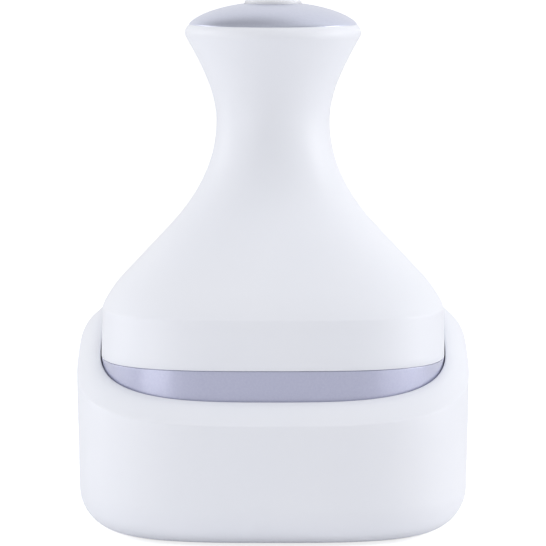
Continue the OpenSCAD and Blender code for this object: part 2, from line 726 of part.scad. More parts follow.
module head_hub(k) color([0.82, 0.83, 0.87])
  translate([HEADS[k][0] * head_c, HEADS[k][1] * head_c, pad_z + pad_t + hub_lip - hub_t]) difference() {
    union() {
      cylinder(r = hub_r, h = hub_t - 0.5);
      cylinder(r = 6, h = hub_t);
    }
    translate([0, 0, -1]) cylinder(r = (drive_f / 2 + hair) / cos(30), h = hub_t + 2, $fn = 6);
    for (a = [0:60:300]) rotate(a + 30) translate([hub_r * 0.62, 0, -1]) cylinder(r = 2.2, h = hub_t + 2);
  }

// Silicone finger that tapers to a round tip, with its root at the origin and its tip down
module finger(length) {
  root_r = finger_w / 2;
  tip_r = root_r * tip_share;
  wide_r = root_r + finger_flare;
  rotate_extrude() polygon(concat(
    [[0, 0.5], [wide_r, 0.5], [wide_r, 0], [root_r + finger_flare * 0.3, -0.5]],
    [[root_r, -finger_flare * 1.4]],
    [for (k = [0:6]) let (g = 90 * k / 6) [tip_r * cos(g), -(length - tip_r) - tip_r * sin(g)]]
  ));
}

module massage_pad(k) color(silicone_lavender)
  translate([HEADS[k][0] * head_c, HEADS[k][1] * head_c, pad_z]) {
    ring_r = pad_r - finger_w / 2 - pad_round - 0.1;
    hub_low = pad_t + hub_lip - hub_t;
    difference() {
      rotate_extrude() polygon(concat(
        [[0, 0], [pad_r - pad_round, 0]],
        [for (a = [-67.5:22.5:0]) [pad_r - pad_round * (1 - cos(a)), pad_round * (1 + sin(a))]],
        [[pad_r, pad_t], [0, pad_t]]
      ));
      translate([0, 0, hub_low - hair]) cylinder(r = hub_r + hair, h = pad_t);
    }
    finger(finger_l - 2);
    for (a = [0:360 / ring_fingers:359]) rotate(a) translate([ring_r, 0, 0]) finger(finger_l);
  }

// ---------- Stand ----------

// Arc of radius r about the centre of the bottom edge's rounding, from a turn in degrees to upright
function foot_arc(r, turn) = [
  for (k = [0:6]) let (g = turn + (90 - turn) * k / 6)
    [low_a - foot_round + r * sin(g), foot_h + foot_round - r * cos(g), skirt_power, 0]
];

module stand_housing() {
  crown = 0.7;
  in_r = foot_round - stand_wall;
  in_arc = foot_arc(in_r, acos((foot_h + foot_round - cover_ledge_z) / in_r));
  outer = concat(
    foot_arc(foot_round, 0),
    [
      [stand_a - 0.1, lip_mid - 8, skirt_power, tilt * 0.9],
      [stand_a, lip_mid, skirt_power, tilt],
      [stand_a - lip_w * 0.28, lip_mid + lip_drop * 0.36 + crown * 0.7, skirt_power, tilt],
      [stand_a - lip_w * 0.58, lip_mid + lip_drop * 0.70 + crown, skirt_power, tilt],
      [rim_a + 0.9, rim_mid, skirt_power, tilt],
      [rim_a + 0.25, rim_mid - 0.15, skirt_power, tilt],
      [rim_a, rim_mid - 0.8, skirt_power, tilt]
    ]
  );
  hang_z = ledge_z - tray_flange;
  inner = [
    [rim_a, hang_z, skirt_power, 0],
    [rim_a - hang_in, hang_z, skirt_power, 0],
    [rim_a - hang_in, hang_z - hang_t, skirt_power, 0],
    [rim_a + skin_t, hang_z - hang_t, skirt_power, 0],
    [rim_a + skin_t, lip_mid - stand_wall * 1.3, skirt_power, tilt],
    [stand_a - stand_wall, lip_mid - stand_wall * 2, skirt_power, tilt],
    for (k = [6:-1:0]) in_arc[k],
    [cover_a - cover_in, cover_ledge_z, skirt_power, 0],
    [cover_a - cover_in, cover_z, skirt_power, 0],
    [cover_a, cover_z, skirt_power, 0]
  ];
  // The cradle that holds the inlet jack stands on the inner side of the rounded edge
  cheek_t = 1.3;
  cheek_l = 4.6;
  cheek_y = jack_back + 2.4;
  cheek_low = foot_h + foot_round + 0.5
    - sqrt(pow(foot_round, 2) - pow(max(0, cheek_y + cheek_l - low_a + foot_round), 2));
  cheek_x = jack_w / 2 + slip;
  color(shell_white) difference() {
    union() {
      wall_loft(concat(outer, inner));
      for (x = [-cheek_x - cheek_t, cheek_x]) translate([x, cheek_y, cheek_low])
        cube([cheek_t, cheek_l, inlet_z - cheek_low]);
      translate([-cheek_x - 0.5, cheek_y, cheek_low])
        cube([2 * cheek_x + 1, cheek_l, inlet_z - jack_w / 2 - hair - cheek_low]);
    }
    translate([0, inlet_y + 3, inlet_z]) rotate([90, 0, 0]) cylinder(r = nose_r + slip, h = 8);
  }
}

module stand_tray() {
  top_z = ledge_z;
  tray = [
    [well_a + tray_wall, floor_z - floor_t, skirt_power, 0],
    [well_top_a + tray_wall - 0.4, top_z - tray_flange - 4, skirt_power, 0],
    [rim_a - hang_in - slip, top_z - tray_flange - 3, skirt_power, 0],
    [rim_a - hang_in - slip, top_z - tray_flange, skirt_power, 0],
    [tray_a, top_z - tray_flange, skirt_power, 0],
    [tray_a, top_z, skirt_power, 0],
    [well_top_a + 0.8, top_z, skirt_power, 0],
    [well_top_a, top_z - 0.8, skirt_power, 0],
    [well_a + 0.3, floor_z + 3, skirt_power, 0],
    [well_a - 0.8, floor_z + 1, skirt_power, 0],
    [well_a - 3, floor_z, skirt_power, 0]
  ];
  color([0.88, 0.88, 0.91]) difference() {
    union() {
      solid_loft(tray);
      translate([0, 0, floor_z - 1]) cylinder(r1 = contact_post_r + 1, r2 = contact_post_r, h = 5);
      translate([0, 0, floor_z - 1]) cylinder(r = contact_post_r, h = post_top - floor_z + 1);
      at(HEADS, stand_screw_c) translate([0, 0, cover_z])
        cylinder(r = stand_boss_r, h = floor_z - floor_t - cover_z + 0.5);
    }
    for (s = [-1, 1]) translate([s * contact_x, 0, post_top - sleeve_l]) {
      cylinder(r = sleeve_out + hair, h = sleeve_l + 1);
      translate([0, 0, -60]) cylinder(r = 1.1, h = 61);
    }
    at(HEADS, stand_screw_c) translate([0, 0, cover_z - 1]) cylinder(r = short_screw_r + screw_play, h = 6);
  }
}

module stand_base() color([0.82, 0.82, 0.85]) difference() {
  union() {
    plate(cover_a - 2 * slip, foot_h, plate_t);
    at(PEGS, 1) translate([0, 0, cover_z - 0.1]) cylinder(r = 2, h = stand_board_z - cover_z + 0.1);
  }
  at(HEADS, foot_c) translate([0, 0, foot_h - 1]) cylinder(r = foot_r + hair, h = 1 + foot_sink);
  at(HEADS, stand_screw_c) translate([0, 0, foot_h - 1]) cylinder(r = short_screw_hole_r, h = plate_t + 2);
  at(HEADS, stand_screw_c) translate([0, 0, foot_h - 1]) cylinder(r = 2.7, h = 2);
}

module stand_feet() color([0.35, 0.36, 0.40]) at(HEADS, foot_c) rotate_extrude()
  polygon([[0, 0], [foot_r - 0.5, 0], [foot_r, 0.5], [foot_r, foot_h + foot_sink], [0, foot_h + foot_sink]]);

module stand_screws() color("silver") at(HEADS, stand_screw_c) translate([0, 0, foot_h + 1])
  screw(short_screw_r, 5, 2.4, 0.9);

module stand_board() color(board_green) {
  difference() {
    translate([-18, 8, stand_board_z]) cube([36, 24, board_t]);
    at(PEGS, 1) translate([0, 0, cover_z]) cylinder(r = 0.8, h = 5);
  }
  for (x = [-8, 2]) translate([x, 16, stand_board_z + board_t - 0.01]) cube([6, 6, 1.2]);
}

module inlet_jack() color([0.15, 0.15, 0.17]) difference() {
  union() {
    translate([-jack_w / 2, jack_back, inlet_z - jack_w / 2]) cube([jack_w, jack_l, jack_w]);
    translate([0, inlet_y, inlet_z]) rotate([90, 0, 0]) cylinder(r = nose_r, h = inlet_l);
  }
  translate([0, inlet_y + 1, inlet_z]) rotate([90, 0, 0]) cylinder(r = inlet_r, h = inlet_l + 1);
  translate([0, inlet_y, inlet_z]) rotate([90, 0, 0]) cylinder(r = inlet_pin_r - 0.25 + hair, h = 14);
}

module inlet_pin() color([0.83, 0.68, 0.36])
  translate([0, jack_back, inlet_z]) rotate([-90, 0, 0]) {
    reach = inlet_l - 1;
    root_l = 1.2;
    rotate_extrude() polygon([
      [0, 0.1], [inlet_pin_r - 0.25, 0.1], [inlet_pin_r - 0.25, root_l + hair],
      [inlet_pin_r, root_l + hair], [inlet_pin_r, root_l + reach - 0.3],
      [inlet_pin_r - 0.3, root_l + reach], [0, root_l + reach]
    ]);
  }

module pin_sleeves() color([0.83, 0.68, 0.36]) for (s = [-1, 1])
  translate([s * contact_x, 0, post_top - sleeve_l]) difference() {
    cylinder(r = sleeve_out, h = sleeve_l);
    translate([0, 0, sleeve_floor]) cylinder(r = pin_r + running, h = sleeve_l);
  }

module contact_pin(s) color([0.9, 0.78, 0.45]) translate([s * contact_x, 0, 0]) {
  top = contact_z - contact_gap;
  rotate_extrude() polygon(concat(
    [[0, pin_low], [pin_r, pin_low]],
    [for (k = [0:4]) let (g = 90 * k / 4) [pin_r * cos(g), top - pin_r + pin_r * sin(g)]]
  ));
}

module stand_leads() color("firebrick") for (s = [-1, 1]) {
  wire([
    [s * contact_x, 0, post_top - sleeve_l - 0.1],
    [s * contact_x, 0, floor_z - floor_t - 1],
    [s * contact_x, 3, floor_z - floor_t - 2],
    [s * contact_x * 1.6, 9, stand_board_z + board_t + 0.7]
  ], 0.5);
  wire([
    [s * 2.5, 31, stand_board_z + board_t + 0.6],
    [s * 2.5, 35, floor_z - floor_t - 1.2],
    [s * 2.5, jack_back - 2, floor_z - floor_t - 1.2],
    [s * 2.5, jack_back + 1, floor_z - floor_t],
    [s * 2.5, jack_back + 1.3, inlet_z - jack_w / 2 - 0.05]
  ], 0.5);
}

body_shell();
trim_band();
top_cap();
power_button();
switch_plunger();
switch_body();
switch_board();
inner_frame();
battery_cell();
main_board();
motor_can();
gearhead();
motor_shaft();
motor_pinion();
gearbox_cover();
upper_bushes();
base_plate();
lower_bushes();
shaft_seals();
main_seal();
chassis_screws();
frame_screws();
charge_pads();
charge_leads();
motor_leads();
drive_wheel();
output_gear(0);  // output_gear_fl
output_gear(1);  // output_gear_fr
output_gear(2);  // output_gear_rl
output_gear(3);  // output_gear_rr
output_shaft(0);  // output_shaft_fl
output_shaft(1);  // output_shaft_fr
output_shaft(2);  // output_shaft_rl
output_shaft(3);  // output_shaft_rr
head_hub(0);  // head_hub_fl
head_hub(1);  // head_hub_fr
head_hub(2);  // head_hub_rl
head_hub(3);  // head_hub_rr
massage_pad(0);  // massage_pad_fl
massage_pad(1);  // massage_pad_fr
massage_pad(2);  // massage_pad_rl
massage_pad(3);  // massage_pad_rr
stand_housing();
stand_tray();
stand_base();
stand_feet();
stand_screws();
stand_board();
inlet_jack();
inlet_pin();
pin_sleeves();
contact_pin(-1);  // contact_pin_left
contact_pin(1);  // contact_pin_right
stand_leads();
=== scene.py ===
"""Looks of an electric scalp massager standing in its recharge stand.

Sizes are in millimetres, except those of the lights and the floor, which are in metres.
"""
import json
import math

import bpy
from mathutils import Matrix, Vector


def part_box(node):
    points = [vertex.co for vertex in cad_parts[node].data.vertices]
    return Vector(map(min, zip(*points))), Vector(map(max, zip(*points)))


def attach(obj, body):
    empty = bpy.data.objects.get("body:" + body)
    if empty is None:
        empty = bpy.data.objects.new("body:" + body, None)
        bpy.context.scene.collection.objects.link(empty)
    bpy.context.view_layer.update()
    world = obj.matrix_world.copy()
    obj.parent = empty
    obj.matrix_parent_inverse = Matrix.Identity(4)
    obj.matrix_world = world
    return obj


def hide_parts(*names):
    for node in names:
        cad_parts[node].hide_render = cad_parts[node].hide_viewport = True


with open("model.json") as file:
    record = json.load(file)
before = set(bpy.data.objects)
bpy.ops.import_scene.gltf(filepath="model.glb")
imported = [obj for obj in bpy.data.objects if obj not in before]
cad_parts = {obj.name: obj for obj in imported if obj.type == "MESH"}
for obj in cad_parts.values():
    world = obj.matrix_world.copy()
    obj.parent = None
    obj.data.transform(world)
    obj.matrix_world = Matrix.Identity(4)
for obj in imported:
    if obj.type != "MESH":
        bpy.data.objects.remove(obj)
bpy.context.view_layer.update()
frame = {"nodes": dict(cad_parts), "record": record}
MM = 0.001
SEGMENTS = 288
# Edges are shaded sharp past these angles, in degrees
SHARP = 40
SHARP_RIM = 45
SHARP_WALL = 50


# ---------- Sizes read from the frame ----------

def node_box(node):
    """Lowest and highest corner of a CAD node, in millimetres."""
    low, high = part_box(node)
    return low / MM, high / MM


# The handpiece's own zero is the base plate's underside, cover_h below the gearbox cover
cover_h = 5.2
base_z = node_box("gearbox_cover")[0].z - cover_h
skirt_a = node_box("body_shell")[1].x
stand_a = node_box("stand_housing")[1].x
foot_h = node_box("stand_housing")[0].z
top_seam = node_box("body_shell")[1].z
button_top = node_box("power_button")[1].z
pad_low, pad_high = node_box("massage_pad_fr")
head_c = (pad_low.x + pad_high.x) / 2
pad_r = (pad_high.x - pad_low.x) / 2

# ---------- Handpiece outline, as the CAD source has it. Heights are above base_z ----------

handle_h = top_seam - base_z
circle_power = 2
skirt_power = 3.2
skirt_draft = 0.3
skirt_slope = 0.02
skirt_h = 14.6
shell_wall = 2.4
band_low = -0.5
band_top = 12.0
crease_h = band_top + skirt_h
crease_half = 0.6
crease_in = 0.22
crease_slope = 0.6
shoulder_h = 8.4
shoulder_in = 5.8
flank_h = 16.0
flank_slope = 0.925
waist_r = 17.4
waist_drop = 29.4
waist_h = handle_h - waist_drop
knob_r = 27.0
edge_r = 3.0
edge_turn = 55.0
flare_slope = 0.56
flare_angle = math.atan(flare_slope)
edge_h = handle_h - edge_r * math.sin(math.radians(edge_turn))
flare_top = edge_h - edge_r * math.sin(flare_angle)
flare_a = knob_r - edge_r * (1 - math.cos(flare_angle))
cap_a = knob_r - edge_r * (1 - math.cos(math.radians(edge_turn)))
mouth_r = cap_a - shell_wall
slip = 0.15
plug_slip = 0.2
plug_r = mouth_r - plug_slip
dome_h = 7.0
dome_power = 2 / 3
button_r = 8.7

# ---------- Stand outline, as the CAD source has it ----------

rim_gap = 0.6
rim_a = skirt_a + rim_gap
lip_w = stand_a - rim_a
lip_drop = 4.9
tilt_angle = 13.7
tilt = math.tan(math.radians(tilt_angle))
rim_front = 44.0
rim_mid = rim_front + tilt * rim_a
lip_mid = rim_mid - lip_drop
stand_draft = 0.7
stand_wall = 2.6
foot_round = 12.5
low_a = stand_a - stand_draft
cover_a = low_a - foot_round
band_gap = 0.02
ledge_z = base_z + band_low - band_gap
inlet_up = 5
inlet_z = foot_h + foot_round + inlet_up
inlet_hole_r = 4.15


# ---------- Mesh helpers ----------

def mesh_object(name, points, faces, sharp=SHARP):
    """A smooth-shaded mesh object from points in millimetres, with sharp edges past that angle in degrees."""
    mesh = bpy.data.meshes.new(name)
    mesh.from_pydata([tuple(c * MM for c in p) for p in points], [], faces)
    mesh.validate()
    mesh.polygons.foreach_set("use_smooth", [True] * len(mesh.polygons))
    mesh.set_sharp_from_angle(angle=math.radians(sharp))
    obj = bpy.data.objects.new(name, mesh)
    bpy.context.scene.collection.objects.link(obj)
    return obj


def outline(a, power, deeper=0.0):
    """Superellipse of half width a and half depth a + deeper, as points spaced evenly by direction."""
    points = []
    for i in range(SEGMENTS):
        t = 2 * math.pi * i / SEGMENTS
        c, s = math.cos(t), math.sin(t)
        r = 1 / (abs(c) ** power + abs(s) ** power) ** (1 / power)
        points.append((a * r * c, (a + deeper) * r * s))
    return points


def loft(name, stations):
    """Closed wall through stations [half width, height, power, tilt, how much deeper than wide]. The last
    number may be left out."""
    points = []
    for a, z, power, slope, *deeper in stations:
        points += [(x, y, z + slope * y) for x, y in outline(a, power, *deeper)]
    faces = []
    for j in range(len(stations)):
        low, high = j * SEGMENTS, (j + 1) % len(stations) * SEGMENTS
        for i in range(SEGMENTS):
            k = (i + 1) % SEGMENTS
            faces.append((low + i, low + k, high + k, high + i))
    return mesh_object(name, points, faces, SHARP_WALL)


def revolve(name, profile, centre=(0, 0), steps=128, sharp=SHARP):
    """Solid of revolution about a vertical axis. The profile is [radius, height], and starts and ends on the
    axis or closes on itself."""
    on_axis = profile[0][0] == 0
    rings = [p for p in profile if p[0] > 0]
    points = []
    for r, z in rings:
        points += [(centre[0] + r * math.cos(2 * math.pi * i / steps),
                    centre[1] + r * math.sin(2 * math.pi * i / steps), z) for i in range(steps)]
    faces = []
    for j in range(len(rings) - 1 if on_axis else len(rings)):
        low, high = j * steps, (j + 1) % len(rings) * steps
        for i in range(steps):
            k = (i + 1) % steps
            faces.append((low + i, low + k, high + k, high + i))
    if on_axis:
        first, last = len(points), len(points) + 1
        points += [(centre[0], centre[1], profile[0][1]), (centre[0], centre[1], profile[-1][1])]
        for i in range(steps):
            k = (i + 1) % steps
            faces.append((first, k, i))
            faces.append((last, (len(rings) - 1) * steps + i, (len(rings) - 1) * steps + k))
    return mesh_object(name, points, faces, sharp)


def arc(centre, radius, start, end, steps):
    """Points on an arc, from the start angle to the end angle in degrees."""
    angles = [math.radians(start + (end - start) * k / steps) for k in range(steps + 1)]
    return [(centre[0] + radius * math.cos(g), centre[1] + radius * math.sin(g)) for g in angles]


def straight(p, q, steps):
    """Points on the way from p to q, without p. Each is a tuple of numbers."""
    return [tuple(a + (b - a) * k / steps for a, b in zip(p, q)) for k in range(1, steps + 1)]


def ease(u, start, end):
    """Cubic from 0 to 1 with the given slopes at its ends."""
    return (start + end - 2) * u ** 3 + (3 - 2 * start - end) * u ** 2 + start * u


def blend(p, q, start, end, steps):
    """Curve from p to q, each [half width, height], with d(width)/d(height) at each end."""
    w, h = q[0] - p[0], q[1] - p[1]
    return [(p[0] + w * ease(k / steps, start * h / w, end * h / w), p[1] + h * k / steps)
            for k in range(steps + 1)]


def inset(line, depth):
    """Moves a profile inwards, along its own normals."""
    moved = []
    for k, p in enumerate(line):
        a, b = line[max(k - 1, 0)], line[min(k + 1, len(line) - 1)]
        dx, dy = b[0] - a[0], b[1] - a[1]
        length = math.hypot(dx, dy)
        moved.append((p[0] - depth * dy / length, p[1] + depth * dx / length))
    return moved


def joined(*lines):
    """One profile from several. Where two meet end to end, their common point comes once."""
    same = 0.01
    whole = list(lines[0])
    for line in lines[1:]:
        whole += line[1:] if math.dist(whole[-1], line[0]) < same else line
    return whole


def apply_modifiers(obj):
    """Bakes an object's modifiers into its mesh."""
    graph = bpy.context.evaluated_depsgraph_get()
    mesh = bpy.data.meshes.new_from_object(obj.evaluated_get(graph))
    obj.modifiers.clear()
    obj.data = mesh


def cut(obj, tool):
    """Subtracts a closed tool from an object, and removes the tool."""
    modifier = obj.modifiers.new("cut", "BOOLEAN")
    modifier.operation = "DIFFERENCE"
    modifier.solver = "EXACT"
    modifier.object = tool
    apply_modifiers(obj)
    obj.data.set_sharp_from_angle(angle=math.radians(SHARP))
    bpy.data.objects.remove(tool)


def paint(obj, slot):
    """Gives an object the material of a slot, and no other."""
    obj.data.materials.clear()
    obj.data.materials.append(materials[slot])


def place(obj, body, slot, node):
    """Gives a piece its body, its material and the CAD node that it stands for."""
    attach(obj, body)
    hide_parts(node)
    paint(obj, slot)


# ---------- Materials ----------

def add_noise(tree, scale, mixed=0.5, stretch=None):
    """Noise with that many features per metre. mixed is how strong the finer ones are."""
    coordinates = tree.nodes.new("ShaderNodeTexCoord")
    noise = tree.nodes.new("ShaderNodeTexNoise")
    noise.inputs["Scale"].default_value = scale
    noise.inputs["Detail"].default_value = 4.0
    noise.inputs["Roughness"].default_value = mixed
    if stretch:
        mapping = tree.nodes.new("ShaderNodeMapping")
        mapping.inputs["Scale"].default_value = stretch
        tree.links.new(coordinates.outputs["Object"], mapping.inputs["Vector"])
        tree.links.new(mapping.outputs["Vector"], noise.inputs["Vector"])
    else:
        tree.links.new(coordinates.outputs["Object"], noise.inputs["Vector"])
    return noise.outputs["Fac"]


def add_range(tree, value, start, end, low=0.0, high=1.0):
    """Number that goes from low to high while the value goes from start to end."""
    node = tree.nodes.new("ShaderNodeMapRange")
    node.inputs["From Min"].default_value = start
    node.inputs["From Max"].default_value = end
    node.inputs["To Min"].default_value = low
    node.inputs["To Max"].default_value = high
    tree.links.new(value, node.inputs["Value"])
    return node.outputs["Result"]


def add_mix(tree, factor, first, second):
    """Colour between first and second. A mix node's colour sockets share names, so they go by number."""
    node = tree.nodes.new("ShaderNodeMix")
    node.data_type = "RGBA"
    node.inputs[6].default_value = (*first, 1)
    node.inputs[7].default_value = (*second, 1)
    tree.links.new(factor, node.inputs["Factor"])
    return node.outputs[2]


def add_bump(tree, shader, height, distance):
    """Bump of that depth in millimetres."""
    node = tree.nodes.new("ShaderNodeBump")
    node.inputs["Strength"].default_value = 1.0
    node.inputs["Distance"].default_value = distance * MM
    tree.links.new(height, node.inputs["Height"])
    tree.links.new(node.outputs["Normal"], shader.inputs["Normal"])


def surface(name, tones, rough, grain=900, grain_depth=0.004, cloud=25, metallic=0.0, coat=0.0,
            stretch=None):
    """A finish whose colour drifts between two tones, with a fine grain and uneven gloss. grain and cloud are
    features per metre, and grain_depth is in millimetres."""
    usual_low, usual_high = 0.3, 0.7
    grain_mixed = 0.6
    coat_rough = 0.15
    material = bpy.data.materials.new(name)
    material.use_nodes = True
    tree = material.node_tree
    shader = tree.nodes["Principled BSDF"]
    tone = add_range(tree, add_noise(tree, cloud), usual_low, usual_high)
    tree.links.new(add_mix(tree, tone, *tones), shader.inputs["Base Color"])
    fine = add_noise(tree, grain, grain_mixed, stretch)
    tree.links.new(add_range(tree, fine, usual_low, usual_high, *rough), shader.inputs["Roughness"])
    add_bump(tree, shader, fine, grain_depth)
    shader.inputs["Metallic"].default_value = metallic
    shader.inputs["Coat Weight"].default_value = coat
    shader.inputs["Coat Roughness"].default_value = coat_rough
    return material


white = (0.835, 0.855, 0.92)
white_warm = (0.85, 0.865, 0.925)
finishes = {
    "shell_plastic": dict(tones=(white, white_warm), rough=(0.40, 0.48)),
    "stand_plastic": dict(tones=(white, white_warm), rough=(0.40, 0.48)),
    "tray_plastic": dict(tones=((0.76, 0.775, 0.82), (0.79, 0.80, 0.84)), rough=(0.52, 0.62),
                         grain=700, grain_depth=0.012),
    "base_plastic": dict(tones=((0.80, 0.81, 0.85), (0.82, 0.83, 0.87)), rough=(0.42, 0.52),
                         grain=800, grain_depth=0.008),
    "trim_lavender": dict(tones=((0.465, 0.48, 0.65), (0.505, 0.52, 0.68)), rough=(0.28, 0.36),
                          grain=2600, grain_depth=0.003, cloud=1600, metallic=0.3, coat=0.85),
    "cap_lavender": dict(tones=((0.61, 0.635, 0.765), (0.64, 0.665, 0.79)), rough=(0.29, 0.36),
                         grain=2000, grain_depth=0.003, cloud=1200, metallic=0.6),
    "button_plastic": dict(tones=((0.86, 0.87, 0.91), (0.88, 0.89, 0.93)), rough=(0.36, 0.44)),
    "silicone": dict(tones=((0.30, 0.31, 0.48), (0.34, 0.35, 0.52)), rough=(0.48, 0.60),
                     grain=1400, grain_depth=0.010, cloud=80),
    "hub_plastic": dict(tones=((0.60, 0.61, 0.68), (0.63, 0.64, 0.70)), rough=(0.45, 0.55),
                        grain_depth=0.010),
    "frame_plastic": dict(tones=((0.58, 0.59, 0.64), (0.62, 0.63, 0.67)), rough=(0.45, 0.55),
                          grain_depth=0.010),
    "gear_nylon": dict(tones=((0.72, 0.67, 0.50), (0.76, 0.71, 0.55)), rough=(0.40, 0.50),
                       grain_depth=0.008),
    "brass": dict(tones=((0.78, 0.57, 0.24), (0.70, 0.50, 0.20)), rough=(0.22, 0.34),
                  grain=1800, cloud=200, metallic=1.0),
    "bush_bronze": dict(tones=((0.50, 0.32, 0.15), (0.42, 0.26, 0.12)), rough=(0.35, 0.50),
                        grain=2500, grain_depth=0.012, cloud=400, metallic=1.0),
    "steel": dict(tones=((0.62, 0.63, 0.65), (0.56, 0.57, 0.59)), rough=(0.20, 0.32),
                  grain=1500, cloud=200, metallic=1.0),
    "motor_steel": dict(tones=((0.50, 0.51, 0.53), (0.45, 0.46, 0.48)), rough=(0.26, 0.40),
                        cloud=150, metallic=1.0, stretch=(1, 1, 12)),
    "circuit_board": dict(tones=((0.015, 0.13, 0.05), (0.02, 0.17, 0.07)), rough=(0.28, 0.40),
                          grain=2200, grain_depth=0.008, cloud=500),
    "battery_wrap": dict(tones=((0.05, 0.13, 0.42), (0.06, 0.15, 0.46)), rough=(0.18, 0.30),
                         grain=300, grain_depth=0.020, cloud=40),
    "black_plastic": dict(tones=((0.012, 0.012, 0.014), (0.02, 0.02, 0.022)), rough=(0.38, 0.50),
                          grain=1500, grain_depth=0.010),
    "seal_rubber": dict(tones=((0.02, 0.02, 0.022), (0.03, 0.03, 0.033)), rough=(0.55, 0.70),
                        grain=1800, grain_depth=0.012),
    "foot_rubber": dict(tones=((0.05, 0.052, 0.062), (0.065, 0.067, 0.078)), rough=(0.60, 0.75),
                        grain=1500, grain_depth=0.020),
    "contact_gold": dict(tones=((0.86, 0.62, 0.25), (0.80, 0.56, 0.21)), rough=(0.14, 0.24),
                         grain=1500, grain_depth=0.002, cloud=300, metallic=1.0),
    "lead_red": dict(tones=((0.42, 0.015, 0.015), (0.50, 0.02, 0.02)), rough=(0.35, 0.45),
                     grain_depth=0.006),
    "lead_black": dict(tones=((0.015, 0.015, 0.015), (0.025, 0.025, 0.025)), rough=(0.35, 0.45),
                       grain_depth=0.006),
}
materials = {name: surface(name, **finish) for name, finish in finishes.items()}


# ---------- Camera ----------

def add_camera():
    """Long lens a little above the object, as in the photograph. The frame is square and photo_w pixels
    wide, and the stand's stand_w millimetres cover stand_pixels of them."""
    distance, elevation = 1250.0, math.radians(5.7)
    aim = Vector((0, 0, 76.96))
    stand_w, stand_pixels, photo_w = 120.0, 390.0, 546
    back = Vector((0, -math.cos(elevation), math.sin(elevation)))
    data = bpy.data.cameras.new("camera")
    data.sensor_width = 36
    data.lens = data.sensor_width * distance / (stand_w / stand_pixels) / photo_w
    data.clip_start, data.clip_end = 0.05, 50
    camera = bpy.data.objects.new("camera", data)
    bpy.context.scene.collection.objects.link(camera)
    camera.location = (aim + back * distance) * MM
    camera.rotation_mode = "QUATERNION"
    camera.rotation_quaternion = (-back).to_track_quat("-Z", "Y")
    bpy.context.scene.camera = camera


# ---------- Handpiece ----------

def power_at(h):
    """Squareness of the housing at a height above base_z. It is the skirt's up to the crease, and falls to
    round at the waist, slowly at first."""
    u = max(0.0, min(1.0, (waist_h - h) / (waist_h - crease_h)))
    hold = 0.9
    return circle_power + (skirt_power - circle_power) * u * u * (1 + hold - hold * u)


def housing_line():
    """Outer profile of the housing, from the band to the seam under the cap."""
    bevel = 0.15
    crease_a = skirt_a - skirt_draft
    crease_low = (crease_a, crease_h - crease_half)
    shoulder_foot = (crease_a - crease_in, crease_h + crease_half)
    shoulder_top = (crease_a - shoulder_in, crease_h + shoulder_h)
    flank_top = (shoulder_top[0] - flank_slope * flank_h, shoulder_top[1] + flank_h)
    waist = (waist_r, waist_h)
    return joined(
        [(skirt_a - bevel, band_top), (skirt_a - bevel / 3, band_top + bevel / 3),
         (skirt_a, band_top + bevel)],
        straight((skirt_a, band_top + bevel), crease_low, steps=6),
        blend(crease_low, shoulder_foot, -skirt_slope, -crease_slope, steps=8),
        blend(shoulder_foot, shoulder_top, -crease_slope, -flank_slope, steps=20),
        blend(shoulder_top, flank_top, -flank_slope, -flank_slope, steps=6),
        blend(flank_top, waist, -flank_slope, 0, steps=40),
        blend(waist, (flare_a, flare_top), 0, flare_slope, steps=40),
        arc((knob_r - edge_r, edge_h), edge_r, -math.degrees(flare_angle), edge_turn, steps=16),
    )


def make_housing():
    """Wall of even thickness, open below and above. Its inside takes every fourth point of the outside."""
    crease_clear = 1
    flare_clear = 3.5
    mouth_h = 4.6
    outside = housing_line()
    neck = [p for p in outside if crease_h + crease_clear < p[1] < flare_top - flare_clear]
    inside = joined(
        [(skirt_a - shell_wall, band_top), (skirt_a - shell_wall - skirt_draft, crease_h - crease_clear)],
        inset(neck, shell_wall)[::4],
        [(mouth_r, handle_h - mouth_h), (mouth_r, handle_h)],
    )
    loop = outside + inside[::-1]
    housing = loft("housing_shell", [(a, base_z + h, power_at(h), 0) for a, h in loop])
    place(housing, "handpiece", "shell_plastic", "body_shell")


def make_band():
    """Trim band, with a rounded lower edge, a seam under the housing, a tongue up inside it and a flange
    over the base plate's seal."""
    seam = 0.14
    seam_deep = 0.5
    bevel = 0.15
    band_in = 3.1
    round_in = 2.6
    round_h = 3.3
    round_slope = 2.2
    tongue_a = skirt_a - shell_wall - slip
    tongue_t = 1.5
    tongue_up = 3
    flange_in = 2
    flange_a = tongue_a - tongue_t - flange_in
    flange_top = 5.5
    seal_h = 4
    loop = joined(
        [(skirt_a - band_in, band_low), (skirt_a - round_in, band_low)],
        blend((skirt_a - round_in, band_low), (skirt_a, band_low + round_h), round_slope, 0.0, steps=12),
        [(skirt_a, band_top - seam - 2 * bevel)],
        arc((skirt_a - bevel, band_top - seam - bevel), bevel, 0, 90, steps=4),
        [(skirt_a - seam_deep, band_top - seam), (skirt_a - seam_deep, band_top), (tongue_a, band_top),
         (tongue_a, band_top + tongue_up), (tongue_a - tongue_t, band_top + tongue_up),
         (tongue_a - tongue_t, flange_top), (flange_a, flange_top), (flange_a, seal_h),
         (skirt_a - band_in, seal_h)],
    )
    band = loft("trim_band_skin", [(a, base_z + h, skirt_power, 0) for a, h in loop])
    place(band, "handpiece", "trim_lavender", "trim_band")


def dome_at(r, reach=cap_a):
    """Height of the dome above the seam at a radius, between an arc and an ellipse."""
    return dome_h * max(0.0, 1 - (r / reach) ** 2) ** dome_power


